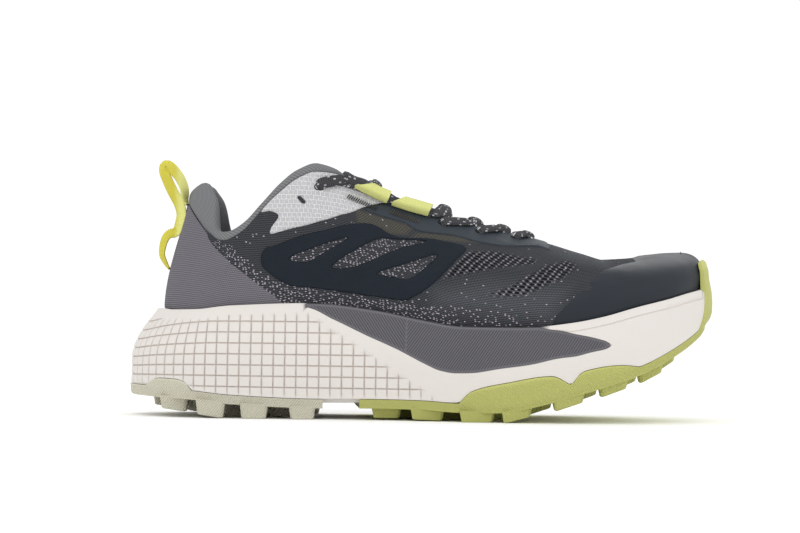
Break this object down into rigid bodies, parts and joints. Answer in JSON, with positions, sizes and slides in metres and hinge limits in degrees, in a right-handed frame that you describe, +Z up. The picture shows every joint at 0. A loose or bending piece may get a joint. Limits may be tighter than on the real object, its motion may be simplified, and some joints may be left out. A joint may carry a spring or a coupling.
{
  "type": "trail running shoe",
  "caption": "Low trail running shoe for the right foot, with a thick flared midsole, lugged rubber outsoles, a knit upper with film overlays, laces and a heel pull loop.",
  "frame": {"origin": "on the floor under the middle of the sole's length and width", "axes": "+X points at the toe, +Y to the inner (medial) side of this right shoe, +Z up"},
  "size_m": [0.3, 0.1121, 0.1298],
  "materials": {
    "midsole": "warm white closed-cell foam with a moulded grid of pads on the heel sides",
    "outsole_heel": "cream matt rubber",
    "outsole_forefoot": "lime matt rubber",
    "side_insert": "grey moulded piece with fine slanting ribs",
    "upper": "dark grey ribbed knit with pale flecks",
    "navy_film": "thin navy overlay film, fused to the knit",
    "eyestay_film": "slate blue overlay film",
    "collar": "grey padded lining",
    "ripstop": "pale grey ripstop cloth",
    "heel_panel": "purple grey knit",
    "lime_webbing": "lime woven tape",
    "loop_webbing": "yellow woven tape",
    "lace": "charcoal flat oval lace with white flecks",
    "insole": "dark cloth over foam",
    "tongue": "padded dark grey cloth"
  },
  "bodies": {
    "root": {"cage_lateral": "navy_film", "cage_medial": "navy_film", "collar": "collar", "eyestay_lateral": "eyestay_film", "eyestay_medial": "eyestay_film", "heel_panel": "heel_panel", "insole": "insole", "lace_bar_1": "lace", "lace_bar_2": "lace", "lace_cross_1": "lace", "lace_cross_2": "lace", "lace_cross_3": "lace", "lace_tunnel_lateral_1": "lime_webbing", "lace_tunnel_lateral_2": "lime_webbing", "lace_tunnel_medial_1": "lime_webbing", "lace_tunnel_medial_2": "lime_webbing", "midsole": "midsole", "outsole_forefoot": "outsole_forefoot", "outsole_heel": "outsole_heel", "pull_loop": "loop_webbing", "quarter_lateral": "ripstop", "quarter_medial": "ripstop", "side_insert_lateral": "side_insert", "side_insert_medial": "side_insert", "toe_cap": "navy_film", "tongue": "tongue", "upper": "upper"}
  },
  "joints": []
}
